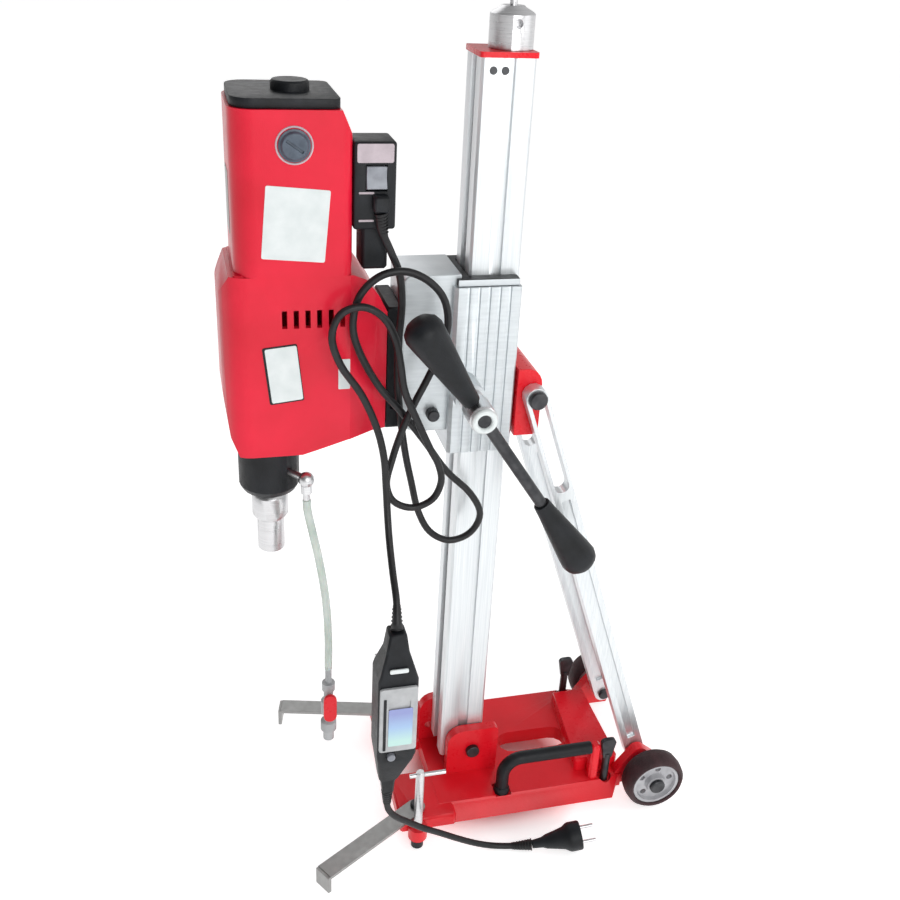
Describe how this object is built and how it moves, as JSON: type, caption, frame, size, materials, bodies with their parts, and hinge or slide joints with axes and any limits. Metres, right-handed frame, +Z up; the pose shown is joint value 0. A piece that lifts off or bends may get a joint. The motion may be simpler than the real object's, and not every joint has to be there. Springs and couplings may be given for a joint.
{
  "type": "core drill rig",
  "caption": "Wheeled floor stand with a tilting rack column, a carriage fed by a bar handle, a wet core drill motor, water line and mains lead.",
  "frame": {"origin": "on the underside of the base casting, below the centre of the column, 18 mm above the floor", "axes": "+Z up the column, -X towards the drill motor, +X towards the wheels, -Y towards the feed handle's side"},
  "size_m": [0.6146, 0.3478, 1.085],
  "materials": {
    "red_paint": "gloss",
    "red_alloy": "cast and painted gloss red",
    "red_plastic": "moulded",
    "black_plastic": "satin",
    "grey_plastic": "satin",
    "hub_grey": "satin",
    "tyre": "matt",
    "dark_steel": "blackened",
    "bright_steel": "machined",
    "strip_steel": "zinc plated",
    "alloy": "clear anodised",
    "clear_hose": "translucent",
    "cord_rubber": "satin"
  },
  "bodies": {
    "stand": {"base_casting": "red_paint", "carry_handle": "black_plastic", "column_pivot_pin": "dark_steel", "wheel_axle_left": "dark_steel", "wheel_axle_right": "dark_steel", "brace_pin_left": "dark_steel", "brace_pin_right": "dark_steel", "strip_bolt_left": "dark_steel", "strip_bolt_right": "dark_steel", "supply_cord": "cord_rubber", "plug": "black_plastic"},
    "column": {"column_extrusion": "alloy", "feed_rack": "bright_steel", "column_foot": "dark_steel", "column_cap": "red_paint", "jack_body": "bright_steel", "brace_bracket": "red_paint", "brace_cross_bolt": "dark_steel", "breaker_case": "black_plastic", "breaker_cover": "grey_plastic"},
    "brace_left": {"brace_left": "alloy"},
    "brace_right": {"brace_right": "alloy"},
    "carriage": {"carriage": "alloy", "slide_pad_left": "grey_plastic", "slide_pad_right": "grey_plastic", "column_wiper": "black_plastic", "motor_mount_block": "black_plastic", "pinion_bush": "bright_steel", "gearbox_housing": "red_alloy", "motor_housing": "red_plastic", "motor_end_cap": "black_plastic", "switch_box": "black_plastic", "spindle_collar": "black_plastic", "water_nipple": "bright_steel", "water_hose": "clear_hose", "water_valve": "grey_plastic", "power_cord": "cord_rubber"},
    "pinion": {"pinion_shaft": "bright_steel"},
    "feed_handle": {"feed_bar": "dark_steel", "handle_grip_upper": "black_plastic", "handle_grip_lower": "black_plastic"},
    "armature": {"motor_armature": "bright_steel"},
    "spindle": {"spindle": "bright_steel", "drive_gear": "bright_steel"},
    "valve_lever": {"valve_lever": "red_paint"},
    "gear_dial": {"gear_dial": "grey_plastic"},
    "switch_rocker": {"switch_rocker": "grey_plastic"},
    "breaker_button": {"breaker_button": "grey_plastic"},
    "jack_screw": {"jack_screw": "bright_steel"},
    "lock_screw": {"carriage_lock_screw": "dark_steel"},
    "screw_front_left": {"levelling_screw_front_left": "bright_steel"},
    "screw_front_right": {"levelling_screw_front_right": "bright_steel"},
    "screw_rear_left": {"levelling_screw_rear_left": "dark_steel"},
    "screw_rear_right": {"levelling_screw_rear_right": "dark_steel"},
    "strip_left": {"guide_strip_left": "strip_steel"},
    "strip_right": {"guide_strip_right": "strip_steel"},
    "wheel_left": {"wheel_hub_left": "hub_grey", "tyre_left": "tyre"},
    "wheel_right": {"wheel_hub_right": "hub_grey", "tyre_right": "tyre"}
  },
  "joints": [
    {"name": "column_tilt", "type": "hinge", "parent": "stand", "child": "column", "pos_m": [0.012, 0, 0.062], "axis": [0, 1, 0], "range_deg": [0, 30]},
    {"name": "brace_swing_left", "type": "hinge", "parent": "stand", "child": "brace_left", "pos_m": [0.2528, 0, 0.042], "axis": [0, 1, 0], "range_deg": [0, 27.5]},
    {"name": "brace_swing_right", "type": "hinge", "parent": "stand", "child": "brace_right", "pos_m": [0.2528, 0, 0.042], "axis": [0, 1, 0], "range_deg": [0, 27.5]},
    {"name": "feed_slide", "type": "slide", "parent": "column", "child": "carriage", "axis": [0, 0, 1], "range_m": [-0.14, 0.215], "deforming": ["power_cord"]},
    {"name": "pinion_turn", "type": "hinge", "parent": "carriage", "child": "pinion", "pos_m": [-0.0355, 0, 0.632], "axis": [0, 1, 0], "range_deg": [-670, 1028]},
    {"name": "handle_shift", "type": "slide", "parent": "pinion", "child": "feed_handle", "axis": [-0.5602, 0, 0.8283], "range_m": [0, 0.125]},
    {"name": "armature_turn", "type": "hinge", "parent": "carriage", "child": "armature", "pos_m": [-0.223, 0, 0.842], "axis": [0, 0, 1], "continuous": true},
    {"name": "spindle_turn", "type": "hinge", "parent": "carriage", "child": "spindle", "pos_m": [-0.256, 0, 0.482], "axis": [0, 0, 1], "continuous": true},
    {"name": "valve_turn", "type": "hinge", "parent": "carriage", "child": "valve_lever", "pos_m": [-0.193, -0.0695, 0.182], "axis": [0, 1, 0], "range_deg": [0, 90]},
    {"name": "gear_select", "type": "hinge", "parent": "carriage", "child": "gear_dial", "pos_m": [-0.226, -0.0603, 0.908], "axis": [0, 1, 0], "range_deg": [-70, 70]},
    {"name": "switch_rock", "type": "hinge", "parent": "carriage", "child": "switch_rocker", "pos_m": [-0.142, -0.052, 0.874], "axis": [1, 0, 0], "range_deg": [0, 16]},
    {"name": "breaker_press", "type": "slide", "parent": "column", "child": "breaker_button", "axis": [0, 1, 0], "range_m": [0, 0.003], "stiffness_N_per_m": 300, "springref_m": -0.001},
    {"name": "jack_rise", "type": "slide", "parent": "column", "child": "jack_screw", "axis": [0, 0, 1], "range_m": [0, 0.08]},
    {"name": "lock_turn", "type": "hinge", "parent": "carriage", "child": "lock_screw", "pos_m": [-0.068, -0.0383, 0.594], "axis": [0, 1, 0], "range_deg": [0, 90]},
    {"name": "level_front_left", "type": "slide", "parent": "stand", "child": "screw_front_left", "axis": [0, 0, 1], "range_m": [-0.02, 0]},
    {"name": "level_front_right", "type": "slide", "parent": "stand", "child": "screw_front_right", "axis": [0, 0, 1], "range_m": [-0.02, 0]},
    {"name": "level_rear_left", "type": "slide", "parent": "stand", "child": "screw_rear_left", "axis": [0, 0, 1], "range_m": [-0.02, 0]},
    {"name": "level_rear_right", "type": "slide", "parent": "stand", "child": "screw_rear_right", "axis": [0, 0, 1], "range_m": [-0.02, 0]},
    {"name": "strip_swing_left", "type": "hinge", "parent": "stand", "child": "strip_left", "pos_m": [-0.08, -0.1, 0.0248], "axis": [0, 0, 1], "range_deg": [-31.7, 6.3]},
    {"name": "strip_swing_right", "type": "hinge", "parent": "stand", "child": "strip_right", "pos_m": [-0.08, 0.1, 0.0248], "axis": [0, 0, 1], "range_deg": [-24.7, 13.3]},
    {"name": "wheel_turn_left", "type": "hinge", "parent": "stand", "child": "wheel_left", "pos_m": [0.2636, -0.1153, 0.028], "axis": [0, 1, 0], "continuous": true},
    {"name": "wheel_turn_right", "type": "hinge", "parent": "stand", "child": "wheel_right", "pos_m": [0.2636, 0.1153, 0.028], "axis": [0, 1, 0], "continuous": true}
  ],
  "couplings": [
    {"joint": "brace_swing_left", "follows": "column_tilt", "ratio": 0.905},
    {"joint": "brace_swing_right", "follows": "column_tilt", "ratio": 0.905},
    {"joint": "pinion_turn", "follows": "feed_slide", "rad_per_m": 83.333},
    {"joint": "spindle_turn", "follows": "armature_turn", "ratio": -0.22222}
  ]
}
